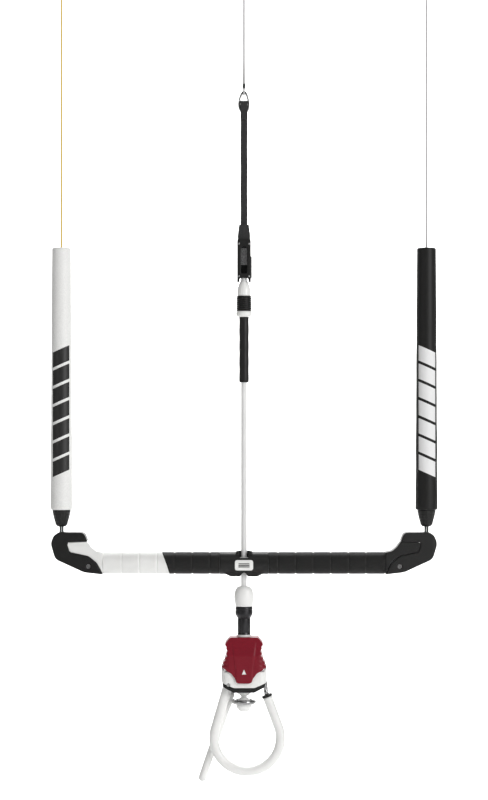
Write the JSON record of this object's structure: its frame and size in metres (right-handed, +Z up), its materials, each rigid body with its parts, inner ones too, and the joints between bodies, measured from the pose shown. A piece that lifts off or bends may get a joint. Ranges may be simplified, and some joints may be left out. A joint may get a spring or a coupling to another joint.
{
  "type": "kitesurf control bar",
  "caption": "Kitesurf control bar with floats, flying lines, depower line, strap trimmer, push-away quick release, chicken loop and finger.",
  "frame": {"origin": "the seat of the harness hook, at the bottom of the chicken loop's opening", "axes": "+Z up along the lines to the kite, +X along the bar to the rider's right hand, -Y towards the viewer"},
  "size_m": [0.524, 0.0418, 1.094],
  "materials": {
    "white_shell": "satin moulded plastic",
    "black_shell": "satin moulded plastic",
    "red_sleeve": "satin moulded plastic",
    "steel": "polished stainless",
    "core_alloy": "anodised",
    "black_metal": "satin anodised black",
    "grip_white": "matt moulded grip",
    "grip_black": "matt moulded grip",
    "float_white": "smooth closed-cell foam",
    "float_black": "smooth closed-cell foam",
    "loop_white": "satin urethane tube",
    "coated_line": "glossy urethane coating",
    "webbing": "woven webbing",
    "leader_cord": "braided cord",
    "line_gold": "braided line",
    "line_grey": "braided line"
  },
  "bodies": {
    "root": {"collar_body": "white_shell", "base_plate": "black_shell", "loop_pivot_pin": "steel", "safety_funnel": "white_shell", "stopper_ball": "white_shell", "swivel_tube": "black_metal", "tube_ring": "white_shell", "swivel_collar": "black_metal", "swivel_bearing": "steel", "release_spring": "steel"},
    "release_sleeve": {"release_sleeve": "red_sleeve"},
    "chicken_loop": {"chicken_loop": "loop_white", "loop_end_collar": "black_shell", "gate_pin": "steel"},
    "leash_ring": {"leash_ring": "steel"},
    "finger": {"finger": "loop_white", "finger_strap": "loop_white"},
    "upper": {"swivel_shaft": "steel", "swivel_dome": "white_shell", "depower_line": "coated_line", "stopper_sleeve": "black_shell", "line_guide": "white_shell", "trim_lines": "leader_cord", "cleat_body": "black_shell", "cleat_jaw": "steel", "cleat_mouth": "black_shell"},
    "trim_handle": {"trim_grip": "black_shell", "trim_rim": "white_shell"},
    "thimble": {"trim_strap": "webbing", "strap_head": "webbing", "thimble": "steel", "front_line_eye": "line_grey", "front_line": "line_grey", "front_line_end": "line_grey"},
    "carriage": {"ball_bushing": "white_shell"},
    "bar": {"centre_housing": "black_shell", "centre_badge": "white_shell", "core_left": "core_alloy", "core_right": "core_alloy", "grip_left_white": "grip_white", "grip_left_black": "grip_black", "grip_right_black": "grip_black", "end_body_left": "white_shell", "end_body_right": "black_shell", "end_cover_left": "black_shell", "end_cover_right": "black_shell", "end_screws": "steel"},
    "left_float": {"leader_left": "leader_cord", "float_cone_left": "black_shell", "float_left": "float_white", "steering_line_left": "line_gold", "line_end_left": "line_gold"},
    "right_float": {"leader_right": "leader_cord", "float_cone_right": "black_shell", "float_right": "float_black", "steering_line_right": "line_grey", "line_end_right": "line_grey"}
  },
  "joints": [
    {"name": "release_slide", "type": "slide", "parent": "root", "child": "release_sleeve", "axis": [0, 0, 1], "range_m": [0, 0.02], "stiffness_N_per_m": 900, "springref_m": -0.01, "deforming": ["release_spring"]},
    {"name": "loop_hinge", "type": "hinge", "parent": "root", "child": "chicken_loop", "pos_m": [-0.021, 0, 0.112], "axis": [0, 1, 0], "range_deg": [0, 60]},
    {"name": "leash_ring_spin", "type": "hinge", "parent": "root", "child": "leash_ring", "pos_m": [0, 0, 0.088], "axis": [0, 0, 1], "continuous": true},
    {"name": "finger_swing", "type": "hinge", "parent": "root", "child": "finger", "pos_m": [-0.0181, 0.0128, 0.0957], "axis": [0, 1, 0], "range_deg": [-10, 40]},
    {"name": "swivel", "type": "hinge", "parent": "root", "child": "upper", "pos_m": [0, 0, 0.2166], "axis": [0, 0, 1], "continuous": true},
    {"name": "trim_slide", "type": "slide", "parent": "upper", "child": "trim_handle", "axis": [0, 0, 1], "range_m": [-0.07, 0]},
    {"name": "trim_take_up", "type": "slide", "parent": "upper", "child": "thimble", "axis": [0, 0, 1], "range_m": [-0.035, 0]},
    {"name": "bar_slide", "type": "slide", "parent": "upper", "child": "carriage", "axis": [0, 0, 1], "range_m": [-0.009, 0.215]},
    {"name": "bar_steer", "type": "hinge", "parent": "carriage", "child": "bar", "pos_m": [0, 0, 0.2755], "axis": [0, 1, 0], "range_deg": [-15, 15]},
    {"name": "left_float_swing", "type": "hinge", "parent": "bar", "child": "left_float", "pos_m": [-0.247, 0, 0.308], "axis": [0, 1, 0], "range_deg": [-15, 15]},
    {"name": "right_float_swing", "type": "hinge", "parent": "bar", "child": "right_float", "pos_m": [0.247, 0, 0.308], "axis": [0, 1, 0], "range_deg": [-15, 15]}
  ],
  "couplings": [
    {"joint": "trim_take_up", "follows": "trim_slide", "ratio": 0.5},
    {"joint": "left_float_swing", "follows": "bar_steer", "ratio": -1},
    {"joint": "right_float_swing", "follows": "bar_steer", "ratio": -1}
  ]
}
